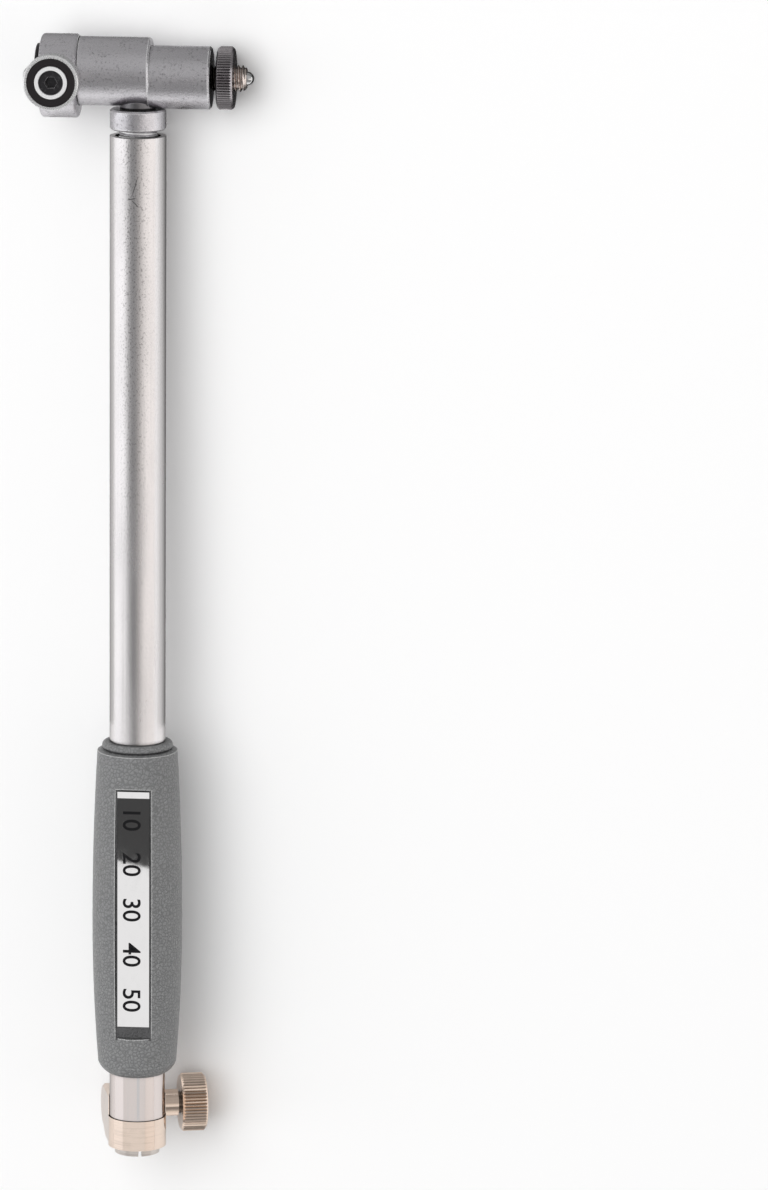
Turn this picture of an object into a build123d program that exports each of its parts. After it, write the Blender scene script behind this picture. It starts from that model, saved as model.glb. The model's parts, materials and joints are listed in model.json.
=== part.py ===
"""Bore gauge that takes a dial indicator, lying on its back as it comes to rest.

Every piece is drawn in the gauge's own axes, in millimetres: +X along the measuring axis towards
the fixed anvil, +Y along the stem from the indicator seat to the head, and +Z out of the front,
where the label is. The origin is the centre of the indicator bore's mouth. At the end all pieces
are turned together about that origin into the pose in which the gauge lies on a table.
"""
import os
from math import cos, pi, sin

from build123d import *

# Fits, as radial or face gaps
seat_gap = 0.02        # a pressed or screwed seat
slide_gap = 0.05       # a piece that slides or turns on another
ball_gap = 0.03        # a ball in its race
lever_gap = 0.03       # a lever nose and the face it pushes
clear_gap = 0.1        # a piece that clears another all round
end_gap = 0.15         # what is left at the end of a travel
stop_gap = 0.3         # a piece that rests against a stop

# How the gauge lies: the turn about its stem and then the tilt of the stem, in degrees
lying_roll = 10.43
lying_tilt = -2.61

# Stem: the tube fits over the sleeve that takes the indicator
bore_d = 8.0
sleeve_wall = 1.13
tube_wall = 1.2

# Height of the measuring axis, the gap between ring nut and tube, and the insert sunk in the tube
measuring_height = 248.6
neck_gap = 1.4
insert_sink = 2.8
insert_length = 21.6
insert_wall = 1.06

# Head body: an offset cylinder, a barrel for the anvil and a spigot down into the stem
body_d = 15.4
body_rise = 1.15
body_right = 3.0
barrel_d = 14.1
barrel_right = 16.5
spigot_drop = 30.6
edge_chamfer = 0.4
cavity_d = 5.6
cavity_right = 2.0
slot_width = 3.2
spring_well_inner_d = 8.4
spring_well_outer_d = 11.6
spring_well_depth = 4.2

# Ring nut on the spigot
neck_ring_step = 0.05
neck_ring_height = 4.6
neck_ring_edge = 0.35

# Movable contact and its bush
contact_d = 4.0
contact_tip_x = -25.9
tip_length = 1.3
tip_collar_d = 3.4
tip_rim = 0.26
tip_pin_d = 1.6
tip_pin_length = 2.5
contact_collar_d = 5.0
contact_nose_d = 2.4
contact_nose_length = 2.2
contact_travel = 1.6
bush_shank_d = 7.8
bush_tail_d = 6.0
bush_tail_length = 3.2
bush_flange_d = 14.3
bush_flange_thick = 0.8
bush_flange_rounding = 0.4    # share of the flange's thickness

# Right-angle lever
lever_arm = 4.0
lever_nose_r = 1.1
lever_hub_r = 1.7
lever_bar = 1.4
lever_thick = 2.4
lever_pin_d = 1.6
lever_pin_rear = -5.4
lever_pin_front = 4.0

# Push rod, its guide, collar and spring
rod_d = 4.0
rod_low = 30.0
rod_groove_depth = 0.5
rod_nose_d = 2.4
rod_nose_length = 2.0
guide_low = 46.0
guide_length = 8.0
rod_collar_low = 82.0
rod_collar_thick = 3.0
rod_collar_room = 0.65
rod_spring_d = 7.4
rod_spring_wire = 0.9
rod_spring_turns = 6

# Centralising bridge and its spring
bridge_d = 18.75
bridge_left = -21.55
bridge_right = -13.1
bridge_wall = 5.05
bridge_flat = 8.5
bridge_edge = 0.8
bridge_travel = 3.0
bridge_spring_wire = 0.6
bridge_spring_turns = 4

# Rollers: sealed ball bearings on the two flats of the bridge
roller_x = -18.1
roller_d = 12.4
roller_width = 4.4
roller_standoff = 0.3
roller_edge = 0.4
outer_bore_d = 10.5
seal_seat_d = 10.9
seal_thick = 0.5
seal_sink = 0.15
inner_ring_d = 7.3
ball_d = 2.0
ball_pitch_d = 8.9
ball_count = 7
screw_head_d = 5.5
screw_head_height = 2.5
screw_head_sink = 0.4
screw_hex = 2.5
screw_hex_depth = 1.4
screw_thread_d = 3.0
screw_reach = 4.4

# Fixed anvil, its ball and its lock nut
anvil_thread_d = 6.0
anvil_inner = 8.5
anvil_outer = 24.4
anvil_edge = 0.8
anvil_hole_left = 6.0
anvil_ball_d = 3.0
anvil_ball_show = 1.6
nut_d = 14.2
nut_left = 17.9
nut_length = 3.7
nut_teeth = 70
knurl_depth = 0.35
knurl_chamfer = 0.55

# Grip and label
grip_low = 19.0
grip_top = 96.8
grip_tail_wall = 2.6
grip_tail_height = 2.7
grip_tail_fullness = 0.7     # share of the tail's wall at half its height
grip_wide_wall = 3.9
grip_wide_height = 36.0
grip_shoulder_wall = 2.75
grip_shoulder_drop = 2.15
lip_wall = 1.85
lip_mouth_wall = 0.5
lip_groove_wall = 1.35
lip_groove_drop = 1.7
lip_groove_flank = 0.18
lip_bulge_wall = 1.7
lip_bulge_drop = 0.94
window_width = 8.05
window_low = 29.0
window_high = 87.1
window_wall = 2.0
window_draft = 12.0          # lean of the window's walls, in degrees
label_margin = 0.4
label_low = 31.7
label_thick = 0.25

# Clamp: a split sleeve, a split collar round it and a thumbscrew across the collar's rear lug
clamp_turn = 13.5
sleeve_length = 20.0
sleeve_slit = 0.7
sleeve_slit_length = 14.0
collar_step = 0.3
collar_low = 1.65
collar_front_top = 8.6
lug_half = 6.6
lug_r = 5.0
lug_slit = 1.0
lug_edge = 0.5
screw_height = 8.4
screw_behind = 9.8
clamp_thread_d = 4.0
clamp_thread_end = -5.4
shank_d = 6.2
knob_left = 11.2
knob_length = 5.8
knob_d = 13.4
knob_teeth = 52
undercut_d = 5.0
undercut_length = 0.6

# Sizes and places worked out from the sizes above
sleeve_d = bore_d + 2 * sleeve_wall
tube_id = sleeve_d + 2 * seat_gap
tube_od = tube_id + 2 * tube_wall
tube_r = tube_od / 2
tube_low = collar_front_top + clear_gap
head_underside = measuring_height + min(-barrel_d / 2, body_rise - body_d / 2)
neck_ring_top = head_underside - end_gap
neck_ring_low = neck_ring_top - neck_ring_height
tube_top = neck_ring_low - neck_gap
insert_top = tube_top - insert_sink
insert_low = insert_top - insert_length
spigot_d = sleeve_d - 2 * insert_wall - 2 * seat_gap
spigot_low = measuring_height - spigot_drop
neck_ring_d = tube_od - 2 * neck_ring_step
rod_collar_d = tube_id - 2 * rod_collar_room
collar_d = tube_od + 2 * collar_step
body_left = bridge_left + bridge_wall + bridge_travel + end_gap
lever_rest = contact_travel / lever_arm / 2
pivot_x = -lever_arm
pivot_y = measuring_height - lever_arm
contact_inner = pivot_x - lever_arm * sin(lever_rest) - lever_nose_r - lever_gap
rod_top = pivot_y + lever_arm * sin(lever_rest) - lever_nose_r - lever_gap
bush_tail_end = body_left + bush_tail_length
bush_flange_right = bridge_left - stop_gap
roller_inner_z = bridge_flat + roller_standoff
roller_outer_z = roller_inner_z + roller_width
clamp_frame = Rot(0, clamp_turn, 0)

END_MIN = (Align.CENTER, Align.CENTER, Align.MIN)


def rod_along_x(start, end, diameter, height=measuring_height):
    """A round bar along X at the given height on the stem."""
    return Pos(start, height, 0) * Rot(0, 90, 0) * Cylinder(diameter / 2, end - start, align=END_MIN)


def rod_along_y(start, end, diameter):
    """A round bar on the stem axis."""
    return Pos(0, start, 0) * Rot(-90, 0, 0) * Cylinder(diameter / 2, end - start, align=END_MIN)


def rod_along_z(start, end, diameter, x, y):
    """A round bar from back to front."""
    return Pos(x, y, start) * Cylinder(diameter / 2, end - start, align=END_MIN)


def coil(diameter, wire, length, turns):
    """A compression spring that stands on the XY plane."""
    path = Helix((length - wire) / turns, length - wire, diameter / 2)
    section = Plane(path @ 0, z_dir=path % 0) * Circle(wire / 2)
    return Pos(0, 0, wire / 2) * sweep(section, path, is_frenet=True)


def knurled(diameter, length, teeth):
    """A straight-knurled disc with chamfered rims that stands on the XY plane."""
    radius = diameter / 2
    step = pi / teeth
    rim = [
        ((radius - knurl_depth * (i % 2)) * cos(i * step), (radius - knurl_depth * (i % 2)) * sin(i * step))
        for i in range(2 * teeth)
    ]
    disc = extrude(make_face(Polyline(*rim, close=True)), length)
    blank = chamfer(Cylinder(radius, length, align=END_MIN).edges().filter_by(GeomType.CIRCLE), knurl_chamfer)
    return disc & blank


# Stem
def tube():
    return rod_along_y(tube_low, tube_top, tube_od) - rod_along_y(tube_low, tube_top, tube_id)


def tube_insert():
    blank = rod_along_y(insert_low, insert_top, sleeve_d)
    return blank - rod_along_y(insert_low, insert_top, spigot_d + 2 * seat_gap)


def neck_ring():
    ring = rod_along_y(neck_ring_low, neck_ring_top, neck_ring_d)
    ring = chamfer(ring.edges().filter_by(GeomType.CIRCLE), neck_ring_edge)
    return ring - rod_along_y(neck_ring_low, neck_ring_top, spigot_d + 2 * seat_gap)


# Head
def head_body():
    body = rod_along_x(body_left, body_right, body_d, measuring_height + body_rise)
    body = chamfer(body.edges().filter_by(GeomType.CIRCLE), edge_chamfer)
    barrel = rod_along_x(body_right - edge_chamfer, barrel_right, barrel_d)
    barrel = chamfer(barrel.edges().filter_by(GeomType.CIRCLE).sort_by(Axis.X)[-1], edge_chamfer)
    head = body + barrel + rod_along_y(spigot_low, measuring_height, spigot_d)
    slot_left = pivot_x - lever_hub_r - 2 * clear_gap
    slot_low = pivot_y - lever_hub_r - 2 * clear_gap
    slot = Box(cavity_right - slot_left, measuring_height - slot_low, slot_width, align=Align.MIN)
    head -= Pos(slot_left, slot_low, -slot_width / 2) * slot
    head -= rod_along_x(bush_tail_end, cavity_right, cavity_d)
    head -= rod_along_x(body_left, bush_tail_end, bush_tail_d + 2 * seat_gap)
    well_end = body_left + spring_well_depth
    well = rod_along_x(body_left, well_end, spring_well_outer_d)
    head -= well - rod_along_x(body_left, well_end, spring_well_inner_d)
    head -= rod_along_y(spigot_low, measuring_height, rod_d + 2 * slide_gap)
    head -= rod_along_x(anvil_hole_left, barrel_right, anvil_thread_d + 2 * slide_gap)
    pin_d = lever_pin_d + 2 * seat_gap
    return head - rod_along_z(-body_d, lever_pin_front + seat_gap, pin_d, pivot_x, pivot_y)


def lever_pin():
    return rod_along_z(lever_pin_rear, lever_pin_front, lever_pin_d, pivot_x, pivot_y)


def contact_bush():
    flange_left = bush_flange_right - bush_flange_thick
    flange = rod_along_x(flange_left, bush_flange_right, bush_flange_d)
    flange = fillet(flange.edges().filter_by(GeomType.CIRCLE), bush_flange_thick * bush_flange_rounding)
    bush = flange + rod_along_x(bush_flange_right, body_left, bush_shank_d)
    bush += rod_along_x(body_left, bush_tail_end, bush_tail_d)
    return bush - rod_along_x(flange_left, bush_tail_end, contact_d + 2 * slide_gap)


def contact_plunger():
    shoulder = contact_tip_x + tip_length
    collar_left = bush_tail_end + stop_gap
    collar_right = contact_inner - contact_nose_length
    plunger = rod_along_x(shoulder, collar_right, contact_d)
    plunger += rod_along_x(collar_left, collar_right, contact_collar_d)
    plunger += rod_along_x(collar_right, contact_inner, contact_nose_d)
    return plunger - rod_along_x(shoulder, shoulder + tip_pin_length, tip_pin_d + 2 * seat_gap)


def contact_tip():
    shoulder = contact_tip_x + tip_length
    dome = make_face(
        [
            TangentArc((contact_tip_x, 0), (shoulder - tip_rim, tip_collar_d / 2), tangent=(0, 1)),
            Polyline(
                (shoulder - tip_rim, tip_collar_d / 2),
                (shoulder, tip_collar_d / 2),
                (shoulder, 0),
                (contact_tip_x, 0),
            ),
        ]
    )
    tip = Pos(0, measuring_height, 0) * revolve(dome, Axis.X)
    return tip + rod_along_x(shoulder, shoulder + tip_pin_length, tip_pin_d)


def transfer_lever():
    """Two equal arms at a right angle, drawn upright and then turned back to the rest position."""
    hub = Cylinder(lever_hub_r, lever_thick)
    nose = Cylinder(lever_nose_r, lever_thick)
    bar = Box(lever_bar, lever_arm, lever_thick, align=(Align.CENTER, Align.MIN, Align.CENTER))
    lever = hub + bar + Rot(0, 0, -90) * bar + Pos(0, lever_arm, 0) * nose + Pos(lever_arm, 0, 0) * nose
    lever -= Cylinder(lever_pin_d / 2 + slide_gap, lever_thick)
    return Pos(pivot_x, pivot_y, 0) * Rot(0, 0, lever_rest * 180 / pi) * lever


# Push rod
def push_rod():
    nose_low = rod_top - rod_nose_length
    rod = rod_along_y(rod_low, nose_low, rod_d) + rod_along_y(nose_low, rod_top, rod_nose_d)
    groove_d = rod_d - 2 * rod_groove_depth
    groove_top = rod_collar_low + rod_collar_thick
    groove = rod_along_y(rod_collar_low, groove_top, rod_d)
    return rod - (groove - rod_along_y(rod_collar_low, groove_top, groove_d))


def rod_collar():
    inner_d = rod_d - 2 * rod_groove_depth + 2 * seat_gap
    low = rod_collar_low + seat_gap
    high = rod_collar_low + rod_collar_thick - seat_gap
    return rod_along_y(low, high, rod_collar_d) - rod_along_y(low, high, inner_d)


def rod_guide():
    guide_top = guide_low + guide_length
    guide = rod_along_y(guide_low, guide_top, sleeve_d)
    return guide - rod_along_y(guide_low, guide_top, rod_d + 2 * slide_gap)


def rod_spring():
    low = guide_low + guide_length + seat_gap
    length = rod_collar_low - low
    return Pos(0, low, 0) * Rot(-90, 0, 0) * coil(rod_spring_d, rod_spring_wire, length, rod_spring_turns)


# Centralising bridge
def bridge():
    cup = rod_along_x(bridge_left, bridge_right, bridge_d)
    cup = fillet(cup.edges().filter_by(GeomType.CIRCLE), bridge_edge)
    cup -= rod_along_x(bridge_left, bridge_right, bush_shank_d + 2 * slide_gap)
    skirt_left = bridge_left + bridge_wall
    skirt_d = body_d + 2 * clear_gap
    cup -= rod_along_x(skirt_left, bridge_right, skirt_d, measuring_height + body_rise)
    for side in (1, -1):
        waste = Box(2 * bridge_d, 2 * bridge_d, bridge_d, align=(Align.CENTER, Align.CENTER, Align.MIN))
        if side < 0:
            waste = Rot(180, 0, 0) * waste
        cup -= Pos(roller_x, measuring_height, side * bridge_flat) * waste
        hole_low = min(side * screw_reach, side * bridge_flat)
        hole_high = max(side * screw_reach, side * bridge_flat)
        cup -= rod_along_z(hole_low, hole_high, screw_thread_d + 2 * seat_gap, roller_x, measuring_height)
    return cup


def bridge_spring():
    left = bridge_left + bridge_wall + seat_gap
    length = body_left + spring_well_depth - seat_gap - left
    mean_d = (spring_well_inner_d + spring_well_outer_d) / 2
    spring = coil(mean_d, bridge_spring_wire, length, bridge_spring_turns)
    return Pos(left, measuring_height, 0) * Rot(0, 90, 0) * spring


# Rollers, drawn about Z for the front and turned round for the rear
def race(depth_gap):
    """The ring-shaped space that the balls run in."""
    return Torus(ball_pitch_d / 2, ball_d / 2 + depth_gap)


def ring(outer_d, inner_d, height):
    return Cylinder(outer_d / 2, height) - Cylinder(inner_d / 2, height)


def outer_ring():
    blank = Cylinder(roller_d / 2, roller_width)
    blank = fillet(blank.edges().filter_by(GeomType.CIRCLE), roller_edge)
    blank -= Cylinder(outer_bore_d / 2, roller_width)
    seat_depth = seal_thick + seal_sink + seat_gap
    for side in (1, -1):
        blank -= Pos(0, 0, side * (roller_width - seat_depth) / 2) * Cylinder(seal_seat_d / 2, seat_depth)
    return blank - race(ball_gap)


def inner_ring():
    """The inner ring stands on the bridge and takes the screw's head in a counterbore."""
    foot = Pos(0, 0, -roller_standoff / 2) * ring(inner_ring_d, screw_thread_d + 2 * slide_gap,
                                                 roller_width + roller_standoff)
    sunk = screw_head_height + screw_head_sink
    foot -= Pos(0, 0, (roller_width - sunk) / 2) * Cylinder(screw_head_d / 2 + slide_gap, sunk)
    return foot - race(ball_gap)


def balls():
    place = PolarLocations(ball_pitch_d / 2, ball_count)
    return [spot * Sphere(ball_d / 2) for spot in place]


def seals():
    washer = ring(seal_seat_d - 2 * seat_gap, inner_ring_d + 2 * clear_gap, seal_thick)
    lift = (roller_width - seal_thick) / 2 - seal_sink
    return [Pos(0, 0, lift) * washer, Pos(0, 0, -lift) * washer]


def roller_screw():
    seat = roller_width / 2 - screw_head_sink - screw_head_height
    reach = roller_inner_z + roller_width / 2 - screw_reach
    head = Pos(0, 0, seat) * Cylinder(screw_head_d / 2, screw_head_height, align=END_MIN)
    hexagon = extrude(RegularPolygon(screw_hex / 2, 6, major_radius=False), screw_hex_depth)
    head -= Pos(0, 0, seat + screw_head_height - screw_hex_depth) * hexagon
    thread_length = seat + reach - stop_gap
    return head + Pos(0, 0, seat - thread_length) * Cylinder(screw_thread_d / 2, thread_length, align=END_MIN)


def roller_pieces():
    """Each roller piece's name, with its solids at the front."""
    return {
        "outer_ring": [outer_ring()],
        "inner_ring": [inner_ring()],
        "balls": balls(),
        "seals": seals(),
        "roller_screw": [roller_screw()],
    }


# Anvil
def anvil():
    rod = rod_along_x(anvil_inner, anvil_outer, anvil_thread_d)
    rod = chamfer(rod.edges().filter_by(GeomType.CIRCLE), anvil_edge)
    socket = Pos(anvil_ball_x(), measuring_height, 0) * Sphere(anvil_ball_d / 2 + seat_gap)
    return rod - socket


def anvil_ball_x():
    """The ball's centre on the measuring axis."""
    return anvil_outer + anvil_ball_show - anvil_ball_d / 2


def anvil_ball():
    return Pos(anvil_ball_x(), measuring_height, 0) * Sphere(anvil_ball_d / 2)


def lock_nut():
    nut = Pos(nut_left, measuring_height, 0) * Rot(0, 90, 0) * knurled(nut_d, nut_length, nut_teeth)
    return nut - rod_along_x(nut_left, nut_left + nut_length, anvil_thread_d + 2 * slide_gap)


# Grip
def grip():
    tail = (tube_r + grip_tail_wall, grip_low + grip_tail_height)
    widest = (tube_r + grip_wide_wall, grip_low + grip_wide_height)
    shoulder = (tube_r + grip_shoulder_wall, grip_top - grip_shoulder_drop)
    bore_r = tube_r + seat_gap
    groove_y = grip_top - lip_groove_drop
    tail_inner = (bore_r + 2 * seat_gap, grip_low)
    tail_middle_r = tail_inner[0] + grip_tail_fullness * (tail[0] - tail_inner[0])
    lip_flank = (tube_r + lip_wall, groove_y - lip_groove_flank)
    lip_groove = (tube_r + lip_groove_wall, groove_y)
    lip_bulge = (tube_r + lip_bulge_wall, grip_top - lip_bulge_drop)
    lip_mouth = (tube_r + lip_mouth_wall, grip_top)
    outline = [
        ThreePointArc(tail_inner, (tail_middle_r, grip_low + grip_tail_height / 2), tail),
        TangentArc(widest, tail, tangent=(0, -1)),
        TangentArc(widest, shoulder, tangent=(0, 1)),
        Polyline(shoulder, lip_flank, lip_groove),
        ThreePointArc(lip_groove, lip_bulge, lip_mouth),
        Polyline(lip_mouth, (bore_r, grip_top), (bore_r, grip_low), tail_inner),
    ]
    handle = revolve(make_face(outline), Axis.Y)
    middle = (window_low + window_high) / 2
    opening = Pos(0, middle, tube_r + window_wall) * Rectangle(window_width, window_high - window_low)
    return handle - extrude(opening, grip_wide_wall, taper=-window_draft)


def range_label():
    width = window_width - 2 * label_margin
    length = window_high - label_margin - label_low
    plate = Box(width, length, label_thick, align=(Align.CENTER, Align.MIN, Align.MIN))
    return Pos(0, label_low, tube_r + window_wall) * plate


# Clamp, drawn with its screw along X and then turned about the stem
def split_sleeve():
    sleeve = rod_along_y(0, sleeve_length, sleeve_d) - rod_along_y(0, sleeve_length, bore_d)
    slit = Box(sleeve_slit, sleeve_slit_length, tube_id, align=(Align.CENTER, Align.MIN, Align.MIN))
    return clamp_frame * (sleeve - slit)


def clamp_collar():
    lug_top = screw_height + lug_r
    side = make_face(
        [
            Polyline((collar_low, 0), (collar_low, -collar_d / 2), (screw_height - lug_r, -screw_behind)),
            ThreePointArc(
                (screw_height - lug_r, -screw_behind),
                (screw_height, -screw_behind - lug_r),
                (lug_top, -screw_behind),
            ),
            Polyline((lug_top, -screw_behind), (lug_top, 0), (collar_low, 0)),
        ]
    )
    lug = extrude(Plane.YZ * side, lug_half, both=True)
    lug = chamfer(lug.faces().sort_by(Axis.X)[0].edges(), lug_edge)
    collar = rod_along_y(collar_low, collar_front_top, collar_d) + lug
    collar -= rod_along_y(collar_low, collar_front_top, sleeve_d + 2 * seat_gap)
    collar -= rod_along_y(collar_front_top, lug_top, tube_od + 2 * clear_gap)
    slit_depth = screw_behind + lug_r
    slit = Box(lug_slit, lug_top - collar_low, slit_depth, align=(Align.CENTER, Align.MIN, Align.MAX))
    collar -= Pos(0, collar_low, 0) * slit
    hole_d = clamp_thread_d + 2 * slide_gap
    hole = rod_along_x(clamp_thread_end - stop_gap, lug_half, hole_d, screw_height)
    return clamp_frame * (collar - Pos(0, 0, -screw_behind) * hole)


def thumbscrew():
    shank_left = lug_half + slide_gap
    undercut_left = knob_left - undercut_length
    screw = rod_along_x(clamp_thread_end, shank_left, clamp_thread_d, screw_height)
    screw += rod_along_x(shank_left, undercut_left, shank_d, screw_height)
    screw += rod_along_x(undercut_left, knob_left, undercut_d, screw_height)
    knob = Pos(knob_left, screw_height, 0) * Rot(0, 90, 0) * knurled(knob_d, knob_length, knob_teeth)
    return clamp_frame * Pos(0, 0, -screw_behind) * (screw + knob)


def all_nodes():
    """Every node's name, with its solids in the gauge's own axes."""
    nodes = {
        "tube": [tube()],
        "tube_insert": [tube_insert()],
        "neck_ring": [neck_ring()],
        "head_body": [head_body()],
        "lever_pin": [lever_pin()],
        "contact_bush": [contact_bush()],
        "contact_plunger": [contact_plunger()],
        "contact_tip": [contact_tip()],
        "transfer_lever": [transfer_lever()],
        "push_rod": [push_rod()],
        "rod_collar": [rod_collar()],
        "rod_guide": [rod_guide()],
        "rod_spring": [rod_spring()],
        "bridge": [bridge()],
        "bridge_spring": [bridge_spring()],
        "anvil": [anvil()],
        "anvil_ball": [anvil_ball()],
        "lock_nut": [lock_nut()],
        "grip": [grip()],
        "range_label": [range_label()],
        "split_sleeve": [split_sleeve()],
        "clamp_collar": [clamp_collar()],
        "thumbscrew": [thumbscrew()],
    }
    middle_z = (roller_inner_z + roller_outer_z) / 2
    for side, turn in (("front", 0), ("rear", 180)):
        place = Pos(roller_x, measuring_height, 0) * Rot(turn, 0, 0) * Pos(0, 0, middle_z)
        for name, solids in roller_pieces().items():
            nodes[f"{side}_{name}"] = [place * solid for solid in solids]
    return nodes


def main():
    os.makedirs("parts", exist_ok=True)
    lying = Rot(lying_tilt, 0, 0) * Rot(0, lying_roll, 0)
    for name, solids in all_nodes().items():
        placed = [lying * solid for shape in solids for solid in shape.solids()]
        export_step(placed[0] if len(placed) == 1 else Compound(children=placed), f"parts/{name}.step")


main()
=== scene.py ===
"""The looks of a bore gauge that lies on its back on a white studio floor.

Sizes are millimetres along the gauge's own axes: +X along the measuring axis towards the anvil,
+Y up the stem towards the head, +Z out of the label side. Blender's units are metres.
"""
import json
import math

import bmesh
import bpy
from mathutils import Matrix, Vector


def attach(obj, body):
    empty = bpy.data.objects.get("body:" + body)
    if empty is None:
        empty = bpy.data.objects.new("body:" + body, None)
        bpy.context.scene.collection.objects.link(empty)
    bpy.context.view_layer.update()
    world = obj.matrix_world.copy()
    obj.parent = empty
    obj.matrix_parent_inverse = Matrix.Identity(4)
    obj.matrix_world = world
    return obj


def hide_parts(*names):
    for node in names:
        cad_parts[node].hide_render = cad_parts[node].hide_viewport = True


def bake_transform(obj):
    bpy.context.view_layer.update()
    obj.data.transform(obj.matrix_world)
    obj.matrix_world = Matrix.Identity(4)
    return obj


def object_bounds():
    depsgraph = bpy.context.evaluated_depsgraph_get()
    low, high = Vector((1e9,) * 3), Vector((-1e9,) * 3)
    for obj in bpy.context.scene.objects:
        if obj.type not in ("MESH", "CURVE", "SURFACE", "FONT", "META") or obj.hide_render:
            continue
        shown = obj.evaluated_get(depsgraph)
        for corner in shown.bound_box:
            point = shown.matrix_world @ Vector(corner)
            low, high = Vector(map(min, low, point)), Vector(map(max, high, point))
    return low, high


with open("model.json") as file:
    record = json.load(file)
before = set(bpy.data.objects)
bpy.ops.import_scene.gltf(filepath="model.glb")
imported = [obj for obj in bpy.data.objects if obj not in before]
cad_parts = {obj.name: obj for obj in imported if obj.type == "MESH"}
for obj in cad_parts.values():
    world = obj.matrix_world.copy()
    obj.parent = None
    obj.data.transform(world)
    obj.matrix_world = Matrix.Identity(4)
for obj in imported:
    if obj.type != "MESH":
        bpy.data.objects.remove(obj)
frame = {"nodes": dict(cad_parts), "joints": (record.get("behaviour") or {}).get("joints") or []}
cad_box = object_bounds()
scene = bpy.context.scene
scene.view_settings.view_transform = "Standard"

MM = 0.001

# Camera, with its roll in degrees
camera_place = (172.6, 466.0, 1600.0)
camera_aim = (55.9, 131.8, 0.0)
camera_roll = -0.46
camera_lens = 219.6
camera_sensor = 36.0

# Light levels round the stem, by angle from the front towards the anvil side, in degrees
side_light = (
    (-180, 1.00), (-95, 1.14), (-58, 1.16), (-46, 0.94), (-34, 0.50), (-20, 0.24), (-6, 0.24),
    (6, 0.36), (18, 0.58), (30, 0.82), (46, 0.97), (66, 1.00), (90, 0.94), (110, 0.70), (180, 1.00),
)
contact_side_tint = (0.995, 1.00, 1.015)
anvil_side_tint = (1.035, 1.00, 0.975)
# Light levels towards the stem's two ends, by angle up the stem, in degrees
end_light = (
    (-90, 0.96), (-72, 0.80), (-55, 0.42), (-40, 0.24), (-20, 0.28), (0, 0.40),
    (24, 0.44), (45, 0.43), (70, 0.37), (90, 0.34),
)
# The stem mirrors directions within this reach of a middle one, as sines of the angle up the stem
stem_light_middle = -0.12
stem_light_reach = 0.14
stem_light_fade = 0.10

# Soft lamp that lights floor and plastics, from the contact side, with its power in watts
lamp_place = (-1300.0, 900.0, 3600.0)
lamp_size = 4000.0
lamp_power = 126.0

# Two cards in a plane through the head, which hardly sees them, with outlines in X and Z. The dark one
# adjoins the white one's lower edge, where the label's upper end mirrors it.
card_plane_y = 248.0
card_plane_slope = -0.814
white_card = ((-900, 287), (-93, 287), (27, 336), (400, 336), (400, 700), (-900, 700))
white_card_level = 0.85
label_card = ((-75, 255), (10, 255), (10, 329), (-75, 294))
label_card_level = 0.058
# One card leans outwards from the floor beyond the head: its sides in X with their levels, its foot
# in Y, and its top in Y and Z
head_card_sides = ((-60.0, 0.48), (60.0, 0.18))
head_card_foot_y = 259.5
head_card_top = (276.0, 14.0)
# Two cards lean outwards from the floor beside the tube, between two places up the stem. Each has its
# foot and its reach in X, its top in Z, and its levels at the foot and at the top.
side_card_y = (98.0, 241.0)
side_cards = (
    ("anvil_side_card", 7.5, 20.0, 4.0, 0.02, 0.92),
    ("contact_side_card", -7.5, -20.0, -1.0, 0.66, 0.66),
)
# Dark card on the floor under the anvil and its nut, with its outline in X and Y
anvil_card = ((16.5, 228), (50, 228), (50, 270), (16.5, 270))
anvil_card_level = 0.05
# Height over the floor at which cards start
card_lift = 0.3

# Floor
floor_size = 20000.0
floor_colour = (0.95, 0.95, 0.95)

# Threads
anvil_pitch = 1.0
anvil_thread_depth = 0.6
anvil_bevel = 0.8
spigot_pitch = 1.0
spigot_thread_depth = 0.36
spigot_end = 5.0
# The crest is flat within the first share of half a pitch, and the root beyond the second
thread_crest, thread_root = 0.125, 0.75
thread_rows_per_pitch = 16
thread_sectors = 72
thread_sharp_angle = 35
thread_gap = 0.02
# The seat of the anvil's ball goes down to this share of half a turn
ball_seat_rows = 5
ball_seat_end = 0.98

# Numbers printed on the label
label_numbers = ("10", "20", "30", "40", "50")
number_size = 5.7
number_step = 10.6
number_shift = -0.6
number_weight = 0.05
ink_thick = 0.02

# The label's upper end, which has come loose and curls up
label_curl_length = 1.5
label_curl_lift = 0.14
label_curl_rows = 8
label_curl_power = 1.5

# Dark strokes painted on the front of the tube: three short ones high up, and on the polished foot a
# painted reflection, a dark line. Each has start, end, width and how much light it leaves
tube_strokes_and_reflection = (
    ((0.5, 226.5), (-0.6, 222.8), 0.16, 0.22),
    ((-1.7, 221.7), (0.1, 222.1), 0.22, 0.22),
    ((-0.7, 221.6), (0.8, 220.1), 0.18, 0.22),
    ((0.9, 25.0), (0.9, 8.0), 0.70, 0.75),
)
# Shares of a mark's half size up to which it is full, and at which it is gone
mark_full, mark_gone = 0.6, 1.2
# Polished foot of the tube
polished_below = 27.0
polished_fade = 1.0
polished_colour = (0.75, 0.68, 0.655)
# Pits on the tube, more of them up the stem and near its middle
pitted_from, pitted_full = 120.0, 215.0
pitted_x = -0.2
pitted_near, pitted_far = 1.32, 3.96

# Samples of the shader nodes that find crevices and edges
crevice_samples = 8
edge_samples = 6
# An edge starts and is full where the cosine between rounded and true normal falls to these
edge_start, edge_full = 0.995, 0.95
# Most of a noise pattern lies between these values
noise_low, noise_high = 0.3, 0.7


# Axes of the gauge
def joint_axis(name):
    return Vector(next(joint["axis"] for joint in frame["joints"] if joint["name"] == name))


to_gauge = Matrix((joint_axis("bridge_slide"), -joint_axis("rod_slide"), joint_axis("lever_turn")))
gauge_axes = to_gauge.transposed()


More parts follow.
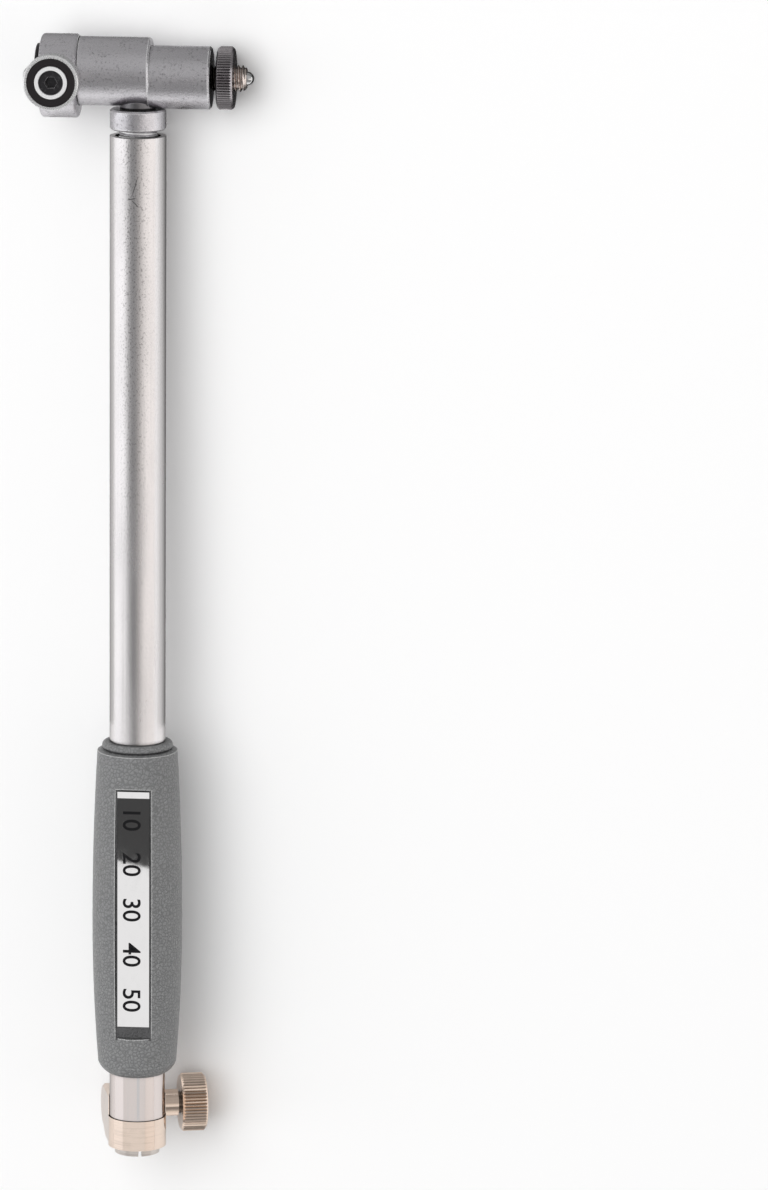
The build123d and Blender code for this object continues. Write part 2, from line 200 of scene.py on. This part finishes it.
def place(x, y, z):
    """A point along the gauge's axes, in the frame's metres."""
    return gauge_axes @ Vector((x, y, z)) * MM


def floor_height(x, y):
    """The floor's Z along the gauge's axes at a place, in millimetres."""
    row = gauge_axes[2]
    return (cad_box[0].z / MM - row.x * x - row.y * y) / row.z


def gauge_points(node):
    """A node's vertices along the gauge's axes."""
    return [to_gauge @ vertex.co / MM for vertex in frame["nodes"][node].data.vertices]


def span(node):
    """A node's lowest and highest corner along the gauge's axes."""
    points = gauge_points(node)
    return Vector(map(min, zip(*points))), Vector(map(max, zip(*points)))


# Shaded wedge between the head and the neck ring: the whole spigot there, and its dark foot
neck_top = span("neck_ring")[1].y
wedge_r = 4.3
wedge_height = 2.5
wedge_foot = 0.35
wedge_fade_r = 0.1
wedge_fade_top = 0.3
wedge_fade_foot = 0.05
# Shares of a normal along the stem up to which its surface runs along the stem, and from which it
# faces the stem's ends
runs_along, faces_ends = 0.4, 0.6
# Painted shade at the end of the grip's window, below the label
window_end = 3.2
window_margin = 0.4
window_fade = 0.1
# Heights over the label's back up to which a place is in the window, and from which it is outside
window_sunk, window_open = 0.3, 0.5
# Height over the stem's axis from which a place is on the front
front_fade = 1.0
# Shaded side of the lock nut, towards the head
nut_left = span("lock_nut")[0].x
nut_shade_reach = 0.5


# Materials
class Nodes:
    """Adds shader nodes to a node tree."""

    def __init__(self, tree):
        self.tree = tree

    def feed(self, socket, value):
        """Sets a socket, or links it where the value is a socket too."""
        if isinstance(value, bpy.types.NodeSocket):
            self.tree.links.new(value, socket)
        else:
            socket.default_value = value

    def node(self, kind, inputs=(), **settings):
        made = self.tree.nodes.new(kind)
        for key, value in settings.items():
            setattr(made, key, value)
        for key, value in dict(inputs).items():
            self.feed(made.inputs[key], value)
        return made

    def math(self, operation, *values):
        return self.node("ShaderNodeMath", enumerate(values), operation=operation).outputs[0]

    def product(self, first, *others):
        for value in others:
            first = self.math("MULTIPLY", first, value)
        return first

    def dot(self, first, second):
        made = self.node("ShaderNodeVectorMath", {0: first, 1: second}, operation="DOT_PRODUCT")
        return made.outputs["Value"]

    def split(self, vector):
        return self.node("ShaderNodeSeparateXYZ", {"Vector": vector}).outputs

    def between(self, value, low, high, start=0.0, end=1.0):
        """Runs smoothly from start to end as value goes from low to high."""
        inputs = {"Value": value, "From Min": low, "From Max": high, "To Min": start, "To Max": end}
        return self.node("ShaderNodeMapRange", inputs, interpolation_type="SMOOTHSTEP").outputs["Result"]

    def mix(self, kind, factor, first, second):
        inputs = {"Factor": factor, "A": first, "B": second}
        return self.node("ShaderNodeMix", inputs, data_type=kind).outputs["Result"]


class Finish(Nodes):
    """A procedural material whose patterns are measured in millimetres along the gauge's axes."""

    def __init__(self, name, colour, metallic, roughness, rim=1.0, specular=0.5):
        self.material = bpy.data.materials.new(name)
        self.material.use_nodes = True
        super().__init__(self.material.node_tree)
        self.colour = colour
        self.shader = self.tree.nodes["Principled BSDF"].inputs
        self.shader["Base Color"].default_value = (*colour, 1)
        self.shader["Metallic"].default_value = metallic
        self.shader["Roughness"].default_value = roughness
        self.shader["Specular Tint"].default_value = (rim, rim, rim, 1)
        self.shader["Specular IOR Level"].default_value = specular
        coordinates = self.node("ShaderNodeTexCoord").outputs["Object"]
        inputs = {"Vector": coordinates, "Rotation": to_gauge.to_euler(), "Scale": (1 / MM,) * 3}
        self.millimetres = self.node("ShaderNodeMapping", inputs).outputs["Vector"]

    def stretched(self, sizes):
        """Coordinates in which a pattern of unit size has these sizes along the three axes."""
        inputs = {"Vector": self.millimetres, "Scale": [1 / size for size in sizes]}
        return self.node("ShaderNodeMapping", inputs).outputs["Vector"]

    def noise(self, sizes, detail=2.0, roughness=0.5):
        inputs = {"Vector": self.stretched(sizes), "Scale": 1.0, "Detail": detail, "Roughness": roughness}
        return self.node("ShaderNodeTexNoise", inputs).outputs["Fac"]

    def cells(self, size):
        inputs = {"Vector": self.stretched((size,) * 3), "Scale": 1.0}
        made = self.node("ShaderNodeTexVoronoi", inputs, feature="DISTANCE_TO_EDGE")
        return made.outputs["Distance"]

    def crevice_shade(self, reach, open_from=0.95, closed_from=0.35):
        """High where other surfaces close in within this reach; the materials paint shade there."""
        made = self.node("ShaderNodeAmbientOcclusion", {"Distance": reach * MM}, samples=crevice_samples)
        return self.between(made.outputs["AO"], open_from, closed_from)

    def normal(self):
        return self.node("ShaderNodeNewGeometry").outputs["Normal"]

    def edges(self, radius):
        """High along edges, where highlights are painted."""
        rounded = self.node("ShaderNodeBevel", {"Radius": radius * MM}, samples=edge_samples)
        return self.between(self.dot(rounded.outputs["Normal"], self.normal()), edge_start, edge_full)

    def axes(self):
        return self.split(self.millimetres)

    def upright(self):
        """High where the surface runs along the stem."""
        lean = self.math("ABSOLUTE", self.dot(self.normal(), gauge_axes.col[1]))
        return self.between(lean, faces_ends, runs_along)

    def neck_wedge(self, height):
        """High on the spigot up to this height above the neck ring, in the shade under the head."""
        axes = self.axes()
        squares = [self.math("POWER", axes[axis], 2.0) for axis in ("X", "Z")]
        from_stem = self.math("SQRT", self.math("ADD", *squares))
        top = neck_top + height
        above = self.between(axes["Y"], neck_top - wedge_fade_foot, neck_top)
        below = self.between(axes["Y"], top + wedge_fade_top, top)
        near = self.between(from_stem, wedge_r + wedge_fade_r, wedge_r)
        return self.product(above, below, near, self.upright())

    def window_floor_shade(self):
        """High on the floor of the grip's window below the label, where shade is painted."""
        low, high = span("range_label")
        half = (high.x - low.x) / 2 + window_margin
        bottom = low.y - window_end
        axes = self.axes()
        inside = self.between(self.math("ABSOLUTE", axes["X"]), half + window_fade, half)
        above = self.between(axes["Y"], bottom - window_fade, bottom)
        below = self.between(axes["Y"], low.y + window_fade, low.y)
        sunk = self.between(axes["Z"], low.z + window_open, low.z + window_sunk)
        front = self.between(axes["Z"], 0.0, front_fade)
        return self.product(inside, above, below, sunk, front)

    def stroke(self, start, end, width):
        """High on a straight mark on the front, between two points (x, y)."""
        middle = [(a + b) / 2 for a, b in zip(start, end)]
        along = (end[0] - start[0], end[1] - start[1])
        inputs = {
            "Vector": self.millimetres,
            "Location": (*middle, 0),
            "Rotation": (0, 0, math.atan2(along[1], along[0])),
            "Scale": (math.hypot(*along) / 2, width / 2, 1),
        }
        mapping = self.node("ShaderNodeMapping", inputs, vector_type="TEXTURE")
        axes = self.split(mapping.outputs["Vector"])
        reach = [self.math("ABSOLUTE", axes[axis]) for axis in ("X", "Y")]
        near = self.between(self.math("MAXIMUM", *reach), mark_gone, mark_full)
        return self.product(near, self.math("GREATER_THAN", axes["Z"], 0.0))

    def bring(self, name, kind, value, target):
        """Brings a socket of the shader to a target where value is high."""
        socket = self.shader[name]
        before = socket.links[0].from_socket if socket.is_linked else socket.default_value
        self.feed(socket, self.mix(kind, value, before, target))

    def tint(self, value, colour):
        """Blends the base colour towards another one where value is high."""
        self.bring("Base Color", "RGBA", value, (*colour, 1))

    def polish(self, value, roughness):
        """Brings the roughness to another one where value is high."""
        self.bring("Roughness", "FLOAT", value, roughness)

    def vary_roughness(self, value, low, high):
        self.feed(self.shader["Roughness"], self.between(value, noise_low, noise_high, low, high))

    def scuff(self, value, metallic):
        """Scatters light where value is high, as fine scratches on metal do; used to brighten painted
        edge highlights.
        """
        self.feed(self.shader["Metallic"], self.between(value, 0.0, 1.0, 1.0, metallic))

    def bump(self, value, height):
        """Adds relief of this height in millimetres."""
        made = self.node("ShaderNodeBump", {"Height": value, "Strength": 1.0, "Distance": height * MM})
        normal = self.shader["Normal"]
        if normal.is_linked:
            self.feed(made.inputs["Normal"], normal.links[0].from_socket)
        self.feed(normal, made.outputs["Normal"])


def shade(colour, share):
    return tuple(level * share for level in colour)


def satin_chrome():
    """Stem tube: satin plating with fine pits and faint draw lines, dark painted strokes, one of them a
    painted reflection, and painted shade in crevices.
    """
    finish = Finish("satin_chrome", (0.87, 0.84, 0.84), 1.0, 0.24, rim=0.5)
    pits = finish.noise((0.42, 0.55, 0.42), detail=2.0, roughness=0.6)
    streaks = finish.noise((0.6, 40.0, 0.6), detail=3.0)
    clouds = finish.noise((6.0, 22.0, 6.0), detail=3.0)
    axes = finish.axes()
    above = finish.between(axes["Y"], polished_below, polished_below + polished_fade)
    polished = finish.math("SUBTRACT", 1.0, above)
    aside = finish.math("ABSOLUTE", finish.math("SUBTRACT", axes["X"], pitted_x))
    spots = finish.product(
        finish.between(pits, 0.54, 0.66, 0.0, 0.6),
        finish.between(axes["Y"], pitted_from, pitted_full, 0.2, 1.0),
        finish.between(aside, pitted_far, pitted_near, 0.15, 1.0),
        above,
    )
    finish.tint(spots, shade(finish.colour, 0.38))
    finish.tint(polished, polished_colour)
    finish.tint(finish.between(streaks, 0.50, 0.75, 0.0, 0.20), shade(finish.colour, 0.75))
    # Dark painted strokes; the one on the polished foot is a painted reflection
    for start, end, width, left in tube_strokes_and_reflection:
        finish.tint(finish.stroke(start, end, width), shade(finish.colour, left))
    # Painted shade in crevices
    finish.tint(finish.crevice_shade(1.2), shade(finish.colour, 0.15))
    finish.vary_roughness(clouds, 0.20, 0.28)
    finish.polish(polished, 0.10)
    finish.bump(finish.product(pits, above), 0.02)
    return finish.material


def blasted_nickel():
    """Head, bridge and neck ring: bead-blasted plating with a sparkling grain, painted highlights along
    the edges, and painted shade in crevices and in the wedge under the head.
    """
    finish = Finish("blasted_nickel", (0.78, 0.76, 0.79), 1.0, 0.28, rim=0.6)
    grain = finish.noise((0.55, 0.55, 0.55), detail=3.0, roughness=0.7)
    clouds = finish.noise((4.0, 4.0, 4.0), detail=3.0)
    edges = finish.edges(0.3)
    patches = finish.between(clouds, 0.44, 0.60, 0.25, 1.0)
    specks = finish.product(finish.between(grain, 0.51, 0.66, 0.0, 0.65), patches)
    finish.tint(specks, shade(finish.colour, 0.40))
    # Painted highlight along the edges, made brighter by less metallic there
    finish.tint(edges, (0.95, 0.95, 0.95))
    finish.scuff(edges, 0.55)
    # Painted shade in crevices
    finish.tint(finish.crevice_shade(0.2), shade(finish.colour, 0.06))
    finish.tint(finish.neck_wedge(wedge_height), shade(finish.colour, 0.32))
    finish.tint(finish.neck_wedge(wedge_foot), shade(finish.colour, 0.04))
    finish.vary_roughness(clouds, 0.22, 0.32)
    finish.polish(edges, 0.15)
    finish.bump(grain, 0.07)
    return finish.material


def bright_nickel(name, colour, roughness):
    """Clamp collar, thumbscrew and sleeve: polished warm nickel with fine polishing lines and painted
    shade in crevices.
    """
    finish = Finish(name, colour, 1.0, roughness, rim=0.75)
    lines = finish.noise((8.0, 0.30, 8.0), detail=3.0)
    smears = finish.noise((3.0, 3.0, 3.0), detail=2.0)
    finish.tint(finish.between(smears, 0.45, 0.75, 0.0, 0.35), shade(colour, 0.80))
    finish.tint(finish.between(lines, 0.50, 0.70, 0.0, 0.25), shade(colour, 0.75))
    # Painted shade in crevices
    finish.tint(finish.crevice_shade(0.7), shade(colour, 0.05))
    finish.vary_roughness(lines, roughness * 0.75, roughness * 1.4)
    finish.bump(lines, 0.003)
    return finish.material


def plated_steel(name, colour, reach):
    """Anvil and lock nut: stained nickel plating with painted shade in the thread and the knurl and
    towards the head, and painted highlights along edges and crests.
    """
    finish = Finish(name, colour, 1.0, 0.24, rim=0.6)
    stains = finish.noise((1.2, 1.2, 1.2), detail=4.0)
    shaded = finish.between(finish.axes()["X"], nut_left + nut_shade_reach, nut_left)
    finish.tint(finish.between(stains, 0.50, 0.72, 0.0, 0.5), shade(colour, 0.6))
    # Painted shade in the thread and the knurl
    finish.tint(finish.crevice_shade(reach, 0.90, 0.45), shade(colour, 0.03))
    # Painted highlight along edges and crests
    finish.tint(finish.edges(0.08), (0.95, 0.94, 0.94))
    finish.tint(shaded, shade(colour, 0.04))
    finish.vary_roughness(stains, 0.18, 0.32)
    return finish.material


def polished_steel(name, level, roughness, metallic=1.0):
    """Hard balls, bearing rings and springs: bright steel with faint marks."""
    finish = Finish(name, (level, level, level), metallic, roughness, rim=0.6)
    marks = finish.noise((0.4, 0.4, 0.4), detail=3.0)
    finish.tint(finish.between(marks, 0.55, 0.75, 0.0, 0.25), shade(finish.colour, 0.8))
    finish.vary_roughness(marks, roughness * 0.85, roughness * 1.3)
    return finish.material


def machined_steel():
    """Inner working pieces: turned steel with a fine grain."""
    finish = Finish("machined_steel", (0.56, 0.56, 0.57), 1.0, 0.30)
    grain = finish.noise((0.12, 0.12, 0.12), detail=1.0)
    finish.tint(finish.between(grain, 0.5, 0.7, 0.0, 0.35), shade(finish.colour, 0.7))
    finish.vary_roughness(grain, 0.24, 0.38)
    finish.bump(grain, 0.003)
    return finish.material


def brass():
    """Insert and guide inside the tube: slightly tarnished brass."""
    finish = Finish("brass", (0.72, 0.52, 0.25), 1.0, 0.30)
    tarnish = finish.noise((2.0, 2.0, 2.0), detail=4.0)
    finish.tint(finish.between(tarnish, 0.45, 0.7, 0.0, 0.6), (0.50, 0.33, 0.15))
    finish.vary_roughness(tarnish, 0.24, 0.42)
    return finish.material


def black_steel():
    """Bush and roller screws: black oxide, rubbed a little at its grain, with painted highlights along
    its edges.
    """
    finish = Finish("black_steel", (0.020, 0.019, 0.021), 0.4, 0.38)
    rub = finish.noise((0.5, 0.5, 0.5), detail=4.0)
    finish.tint(finish.between(rub, 0.52, 0.72, 0.0, 0.5), (0.075, 0.072, 0.075))
    # Painted highlight along edges
    finish.tint(finish.edges(0.12), (0.30, 0.29, 0.30))
    finish.vary_roughness(rub, 0.30, 0.48)
    finish.bump(rub, 0.004)
    return finish.material


def seal_rubber():
    """Seals of the rollers: dull black rubber."""
    finish = Finish("seal_rubber", (0.013, 0.011, 0.012), 0.0, 0.45, specular=0.25)
    grain = finish.noise((0.15, 0.15, 0.15), detail=3.0)
    finish.tint(finish.between(grain, 0.45, 0.75, 0.0, 0.6), (0.035, 0.030, 0.030))
    finish.bump(grain, 0.004)
    return finish.material


def grip_plastic():
    """Grip: grey moulded plastic with a fine leather grain, painted shade in crevices and on the window's
    floor, and painted highlights along edges.
    """
    finish = Finish("grip_plastic", (0.225, 0.227, 0.230), 0.0, 0.40)
    grain = finish.cells(0.85)
    fine = finish.noise((0.45, 0.45, 0.45), detail=3.0)
    wear = finish.noise((7.0, 18.0, 7.0), detail=3.0)
    finish.tint(finish.between(wear, 0.40, 0.70, 0.0, 0.5), (0.245, 0.245, 0.245))
    finish.tint(finish.between(grain, 0.16, 0.02, 0.0, 0.6), (0.095, 0.098, 0.098))
    finish.tint(finish.between(fine, 0.56, 0.72, 0.0, 0.5), (0.33, 0.335, 0.33))
    # Painted highlight along edges, as the window's rim
    finish.tint(finish.edges(0.3), (0.62, 0.62, 0.62))
    # Painted shade in crevices, wide and faint, then close and dark
    finish.tint(finish.product(finish.crevice_shade(2.5), 0.6), (0.095, 0.096, 0.098))
    finish.tint(finish.crevice_shade(0.8), (0.022, 0.022, 0.023))
    # Painted shade on the window's floor below the label
    finish.tint(finish.window_floor_shade(), (0.075, 0.075, 0.077))
    finish.vary_roughness(fine, 0.34, 0.50)
    finish.bump(finish.between(grain, 0.0, 0.35), 0.13)
    finish.bump(fine, 0.04)
    return finish.material


def label_foil():
    """Label: silvered plastic foil, slightly hazy."""
    finish = Finish("label_foil", (0.92, 0.91, 0.91), 1.0, 0.025)
    haze = finish.noise((1.5, 3.0, 1.5), detail=3.0)
    finish.tint(finish.between(haze, 0.45, 0.75, 0.0, 0.3), (0.86, 0.85, 0.85))
    finish.vary_roughness(haze, 0.02, 0.04)
    return finish.material


def print_ink():
    """Numbers on the label: dull black ink."""
    finish = Finish("print_ink", (0.008, 0.008, 0.009), 0.0, 0.55, specular=0.15)
    grain = finish.noise((0.2, 0.2, 0.2), detail=2.0)
    finish.tint(finish.between(grain, 0.5, 0.8, 0.0, 0.5), (0.02, 0.02, 0.022))
    return finish.material


foil = label_foil()
nickel = blasted_nickel()
plating = plated_steel("anvil_plating", (0.93, 0.82, 0.76), 0.4)
ball_steel = polished_steel("hard_steel", 0.78, 0.08)
inner_ring_steel = polished_steel("inner_ring_steel", 0.94, 0.35, metallic=0.5)
outer_ring_steel = polished_steel("outer_ring_steel", 0.90, 0.28, metallic=0.8)
spring_steel = polished_steel("spring_steel", 0.50, 0.25)
inner_steel = machined_steel()
yellow_brass = brass()
black_oxide = black_steel()
rubber = seal_rubber()
node_finish = {
    "tube": satin_chrome(),
    "head_body": nickel,
    "bridge": nickel,
    "neck_ring": nickel,
    "clamp_collar": bright_nickel("collar_nickel", (0.84, 0.70, 0.60), 0.09),
    "thumbscrew": bright_nickel("knob_nickel", (0.86, 0.69, 0.57), 0.12),
    "split_sleeve": bright_nickel("sleeve_nickel", (0.62, 0.57, 0.53), 0.18),
    "lock_nut": plated_steel("nut_plating", (0.52, 0.48, 0.50), 0.5),
    "anvil": plating,
    "anvil_ball": ball_steel,
    "contact_tip": ball_steel,
    "contact_bush": black_oxide,
    "grip": grip_plastic(),
    "range_label": foil,
    "tube_insert": yellow_brass,
    "rod_guide": yellow_brass,
    "rod_spring": spring_steel,
    "bridge_spring": spring_steel,
}
for node in ("contact_plunger", "transfer_lever", "lever_pin", "push_rod", "rod_collar"):
    node_finish[node] = inner_steel
for roller in ("front", "rear"):
    node_finish[f"{roller}_outer_ring"] = outer_ring_steel
    node_finish[f"{roller}_inner_ring"] = inner_ring_steel
    node_finish[f"{roller}_balls"] = ball_steel
    node_finish[f"{roller}_seals"] = rubber
    node_finish[f"{roller}_roller_screw"] = black_oxide
for node, material in node_finish.items():
    materials = frame["nodes"][node].data.materials
    materials.clear()
    materials.append(material)


# Pieces made here
def add_piece(name, data, material):
    """Puts mesh data into the scene with one material."""
    piece = bpy.data.objects.new(name, data)
    scene.collection.objects.link(piece)
    data.materials.clear()
    data.materials.append(material)
    return piece


def add_mesh(name, mesh, material):
    """Turns a finished mesh into a piece."""
    data = bpy.data.meshes.new(name)
    mesh.to_mesh(data)
    mesh.free()
    return add_piece(name, data, material)


def skin(mesh, rings, hollow=False):
    """Joins rings of vertices with faces, and closes both ends or joins the last ring to the first."""
    pairs = list(zip(rings, rings[1:]))
    if hollow:
        pairs.append((rings[-1], rings[0]))
    else:
        mesh.faces.new(rings[0])
        mesh.faces.new(rings[-1])
    for low, high in pairs:
        for k in range(len(low)):
            mesh.faces.new((low[k], low[k - 1], high[k - 1], high[k]))
    bmesh.ops.recalc_face_normals(mesh, faces=mesh.faces)


def thread(major, depth, pitch):
    """The radius of a thread at a place along its axis and an angle about it."""

    def radius(along, angle):
        phase = (along / pitch - angle / (2 * math.pi)) % 1.0
        from_crest = abs(2 * phase - 1)
        share = min(max((from_crest - thread_crest) / (thread_root - thread_crest), 0.0), 1.0)
        return major / 2 - depth * share

    return radius


def turned_piece(name, rows, radius_at, put, material, hollow=False):
    """A piece turned from rows of (place along the axis, largest radius), cut down to a thread."""
    mesh = bmesh.new()
    rings = []
    for along, largest in rows:
        ring = []
        for k in range(thread_sectors):
            angle = 2 * math.pi * k / thread_sectors
            radius = min(largest, radius_at(along, angle))
            ring.append(mesh.verts.new(put(along, radius * math.cos(angle), radius * math.sin(angle))))
        rings.append(ring)
    skin(mesh, rings, hollow)
    piece = add_mesh(name, mesh, material)
    piece.data.shade_smooth()
    piece.data.set_sharp_from_angle(angle=math.radians(thread_sharp_angle))
    return piece


def steps(start, end, pitch):
    """Places along a thread, from its start to its end."""
    count = math.ceil((end - start) / pitch * thread_rows_per_pitch)
    return [start + (end - start) * k / count for k in range(count + 1)]


def threaded_anvil():
    """The anvil with its thread, and with the seat of its ball in the outer end."""
    low, high = span("anvil")
    height = (low.y + high.y) / 2
    major = high.y - low.y
    rows = []
    for x in steps(low.x, high.x, anvil_pitch):
        bevel = max(0.0, anvil_bevel - (x - low.x), anvil_bevel - (high.x - x))
        rows.append((x, major / 2 - bevel))
    ball_low, ball_high = span("anvil_ball")
    ball_x = (ball_low.x + ball_high.x) / 2
    seat_r = (ball_high.x - ball_low.x) / 2 + thread_gap
    mouth = math.acos((high.x - ball_x) / seat_r) if abs(high.x - ball_x) < seat_r else 0.0
    for k in range(ball_seat_rows):
        turn = mouth + (math.pi * ball_seat_end - mouth) * k / (ball_seat_rows - 1)
        rows.append((ball_x + seat_r * math.cos(turn), seat_r * math.sin(turn)))
    cut = thread(major, anvil_thread_depth, anvil_pitch)
    piece = turned_piece("threaded_anvil", rows, cut, lambda x, y, z: place(x, height + y, z), plating)
    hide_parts("anvil")
    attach(piece, "anvil_rod")


def spigot_radius():
    """The radius of the head's spigot, at its low end."""
    points = gauge_points("head_body")
    low = min(point.y for point in points)
    return max(math.hypot(point.x, point.z) for point in points if point.y < low + spigot_end)


def spigot_thread():
    """A thread round the head's spigot, between the tube's insert and the neck ring."""
    low = span("tube_insert")[1].y + thread_gap
    high = span("neck_ring")[0].y - thread_gap
    inner_r = spigot_radius() + thread_gap
    major = 2 * (inner_r + spigot_thread_depth)
    rows = [(low, inner_r)] + [(y, major / 2) for y in steps(low, high, spigot_pitch)] + [(high, inner_r)]
    cut = thread(major, spigot_thread_depth - thread_gap, spigot_pitch)
    piece = turned_piece("spigot_thread", rows, cut, lambda y, x, z: place(x, y, z), nickel, hollow=True)
    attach(piece, "stem")


def label_strip():
    """The label, flat on the window's floor up to the end that curls."""
    low, high = span("range_label")
    bend = high.y - label_curl_length
    stations = [(low.y, 0.0)]
    for k in range(label_curl_rows + 1):
        share = k / label_curl_rows
        stations.append((bend + label_curl_length * share, label_curl_lift * share ** label_curl_power))
    corners = ((low.x, low.z), (high.x, low.z), (high.x, high.z), (low.x, high.z))
    mesh = bmesh.new()
    rings = [[mesh.verts.new(place(x, y, z + lift)) for x, z in corners] for y, lift in stations]
    skin(mesh, rings)
    piece = add_mesh("label_strip", mesh, foil)
    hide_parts("range_label")
    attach(piece, "stem")


def label_digits():
    """Plain numbers printed along the label, read from the head end down."""
    low, high = span("range_label")
    across = (low.x + high.x) / 2 + number_shift
    middle = (low.y + high.y) / 2
    mesh = bmesh.new()
    for k, number in enumerate(label_numbers):
        curve = bpy.data.curves.new("number", "FONT")
        curve.body = number
        curve.size = number_size
        curve.extrude = ink_thick / 2
        curve.offset = number_weight
        curve.align_x = "CENTER"
        curve.align_y = "CENTER"
        writing = bpy.data.objects.new("number", curve)
        flat = bpy.data.meshes.new_from_object(writing)
        along = middle - (k - (len(label_numbers) - 1) / 2) * number_step
        for vertex in flat.vertices:
            x, y, z = vertex.co
            vertex.co = place(across + y, along - x, high.z + ink_thick + z)
        mesh.from_mesh(flat)
        bpy.data.meshes.remove(flat)
        bpy.data.objects.remove(writing)
        bpy.data.curves.remove(curve)
    piece = add_mesh("label_digits", mesh, print_ink())
    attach(piece, "stem")


def coil_spring(node):
    """A still copy of a spring, attached to no body, in place of the spring node; the real spring's one
    end stays with the stem while the other moves.
    """
    piece = add_piece(f"{node}_coil", frame["nodes"][node].data.copy(), spring_steel)
    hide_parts(node)
    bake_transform(piece)


def coil_springs():
    coil_spring("bridge_spring")
    coil_spring("rod_spring")


threaded_anvil()
coil_springs()
spigot_thread()
label_strip()
label_digits()


# Studio
def studio_floor():
    mesh = bmesh.new()
    bmesh.ops.create_grid(mesh, x_segments=1, y_segments=1, size=floor_size * MM / 2)
    paper = Finish("floor_paper", floor_colour, 0.0, 0.9, specular=0.0)
    piece = add_mesh("floor", mesh, paper.material)
    piece.location.z = cad_box[0].z


def card(name, corners, levels):
    """A card that only reflections show, with a level of light at each corner."""
    mesh = bmesh.new()
    layer = mesh.verts.layers.float.new("level")
    mesh.faces.new([mesh.verts.new(place(*corner)) for corner in corners])
    for vertex, level in zip(mesh.verts, levels):
        vertex[layer] = level
    material = bpy.data.materials.new(name)
    material.use_nodes = True
    nodes = Nodes(material.node_tree)
    strength = nodes.node("ShaderNodeAttribute", attribute_name="level").outputs["Fac"]
    glow = nodes.node("ShaderNodeEmission", {"Strength": strength}).outputs["Emission"]
    nodes.feed(nodes.tree.nodes["Material Output"].inputs["Surface"], glow)
    piece = add_mesh(name, mesh, material)
    piece.visible_camera = False
    piece.visible_diffuse = False
    piece.visible_shadow = False


def over_floor(x, y):
    """The point at which a card starts over a place on the floor."""
    return (x, y, floor_height(x, y) + card_lift)


def studio_cards():
    for name, outline, level in (
        ("white_card", white_card, white_card_level),
        ("label_card", label_card, label_card_level),
    ):
        corners = [(x, card_plane_y + card_plane_slope * z, z) for x, z in outline]
        card(name, corners, [level] * len(corners))
    (left, left_level), (right, right_level) = head_card_sides
    feet = [over_floor(x, head_card_foot_y) for x in (left, right)]
    corners = [*feet, (right, *head_card_top), (left, *head_card_top)]
    card("head_card", corners, (left_level, right_level, right_level, left_level))
    low, high = side_card_y
    for name, foot, reach, top, foot_level, top_level in side_cards:
        feet = [over_floor(foot, y) for y in (low, high)]
        corners = [*feet, (reach, high, top), (reach, low, top)]
        card(name, corners, [foot_level] * 2 + [top_level] * 2)
    corners = [over_floor(x, y) for x, y in anvil_card]
    card("anvil_card", corners, [anvil_card_level] * len(corners))


def light_ramp(nodes, angle, stops, low_tint=(1, 1, 1), high_tint=(1, 1, 1)):
    """Light by an angle in radians, from stops in degrees, with a tint on either side of 0."""
    first, last = stops[0][0], stops[-1][0]
    inputs = {"Value": angle, "From Min": math.radians(first), "From Max": math.radians(last)}
    share = nodes.node("ShaderNodeMapRange", inputs).outputs["Result"]
    ramp = nodes.node("ShaderNodeValToRGB", {"Fac": share})
    elements = ramp.color_ramp.elements
    while len(elements) < len(stops):
        elements.new(0.5)
    for element, (stop, level) in zip(elements, stops):
        element.position = (stop - first) / (last - first)
        element.color = (*shade(low_tint if stop < 0 else high_tint, level), 1)
    return ramp.outputs["Color"]


def studio_world():
    """Light round the stem from where the stem mirrors it, and light towards its ends elsewhere."""
    world = bpy.data.worlds.new("studio")
    scene.world = world
    world.use_nodes = True
    nodes = Nodes(world.node_tree)
    direction = nodes.node("ShaderNodeTexCoord").outputs["Generated"]
    inputs = {"Vector": direction, "Rotation": to_gauge.to_euler()}
    axes = nodes.split(nodes.node("ShaderNodeMapping", inputs).outputs["Vector"])
    aside = nodes.math("ARCTAN2", axes["X"], axes["Z"])
    upwards = nodes.math("ARCSINE", axes["Y"])
    round_stem = light_ramp(nodes, aside, side_light, contact_side_tint, anvil_side_tint)
    along_stem = light_ramp(nodes, upwards, end_light)
    away = nodes.math("ABSOLUTE", nodes.math("SUBTRACT", axes["Y"], stem_light_middle))
    weight = nodes.between(away, stem_light_reach, stem_light_reach + stem_light_fade)
    light = nodes.mix("RGBA", weight, round_stem, along_stem)
    nodes.feed(nodes.tree.nodes["Background"].inputs["Color"], light)


def studio_lamp():
    lamp = bpy.data.lights.new("soft_lamp", "AREA")
    lamp.size = lamp_size * MM
    lamp.energy = lamp_power
    piece = bpy.data.objects.new("soft_lamp", lamp)
    scene.collection.objects.link(piece)
    piece.location = place(*lamp_place)
    piece.rotation_euler = piece.location.to_track_quat("Z", "Y").to_euler()
    piece.visible_glossy = False


def studio_camera():
    camera = bpy.data.cameras.new("camera")
    camera.sensor_width = camera_sensor
    camera.lens = camera_lens
    piece = bpy.data.objects.new("camera", camera)
    scene.collection.objects.link(piece)
    forward = (Vector(camera_aim) - Vector(camera_place)).normalized()
    stem = Vector((0, 1, 0))
    level_up = (stem - forward * stem.dot(forward)).normalized()
    level_right = forward.cross(level_up)
    roll = math.radians(camera_roll)
    up = level_up * math.cos(roll) + level_right * math.sin(roll)
    right = forward.cross(up)
    turn = gauge_axes @ Matrix((right, up, -forward)).transposed()
    piece.matrix_world = Matrix.Translation(place(*camera_place)) @ turn.to_4x4()
    scene.camera = piece


studio_floor()
studio_cards()
studio_world()
studio_lamp()
studio_camera()
